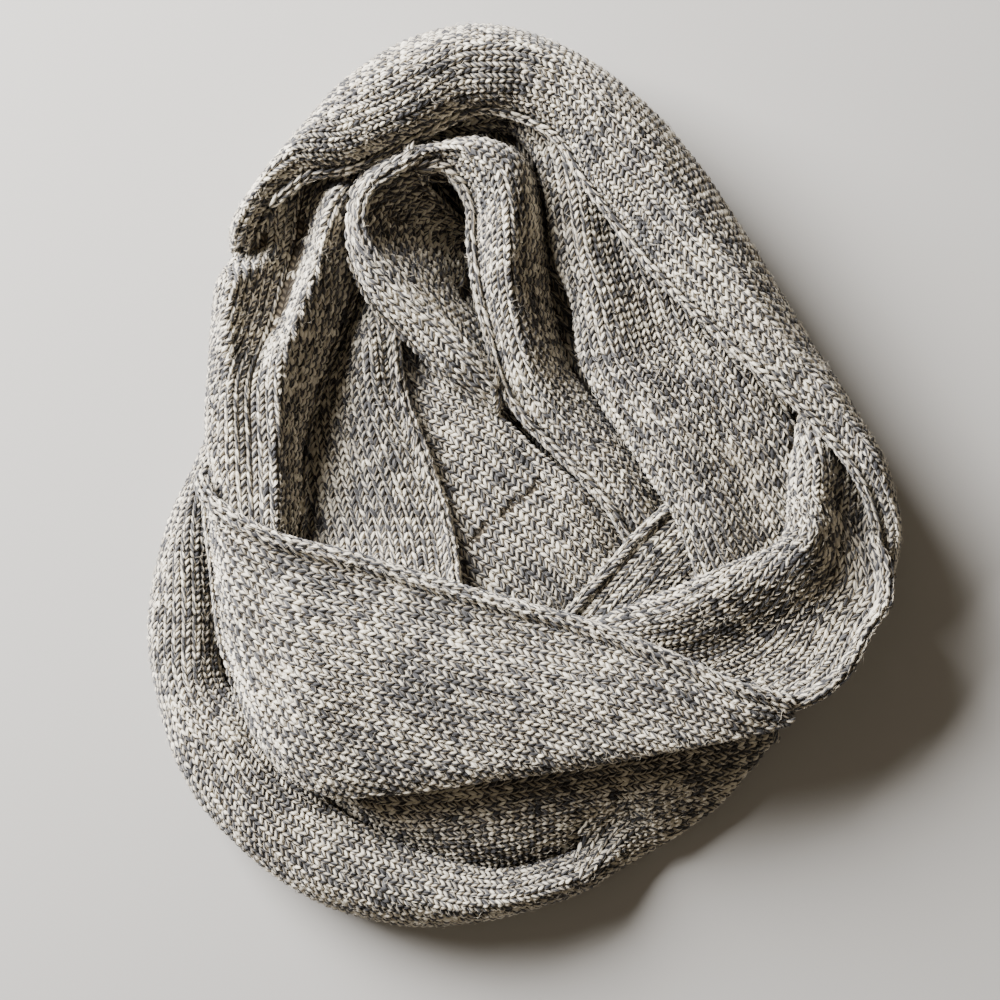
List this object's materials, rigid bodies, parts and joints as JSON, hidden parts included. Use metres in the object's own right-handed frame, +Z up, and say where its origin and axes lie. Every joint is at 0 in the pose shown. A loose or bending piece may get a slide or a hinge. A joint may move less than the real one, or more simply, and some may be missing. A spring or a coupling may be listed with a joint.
{
  "type": "infinity scarf",
  "caption": "Wide knitted loop scarf of marled yarn, wound twice and dropped in a heap with rolled turns, folds and a collar-like pocket.",
  "frame": {"origin": "middle of the heap's outline, on the surface that it lies on", "axes": "+Z up; +Y along the heap's longest side, the picture's upward direction; +X to the picture's right"},
  "size_m": [0.3432, 0.4082, 0.0857],
  "materials": {
    "marled_yarn": "matt knitted wool"
  },
  "bodies": {
    "root": {"outer_turn": "marled_yarn", "lower_turn": "marled_yarn", "front_panel": "marled_yarn", "under_panel": "marled_yarn", "right_turn": "marled_yarn", "inner_right_roll": "marled_yarn", "small_strip": "marled_yarn", "pocket_roll": "marled_yarn", "collar_loop": "marled_yarn", "left_folds": "marled_yarn", "centre_left_panel": "marled_yarn", "centre_panel": "marled_yarn", "hidden_layers": "marled_yarn"}
  },
  "joints": []
}
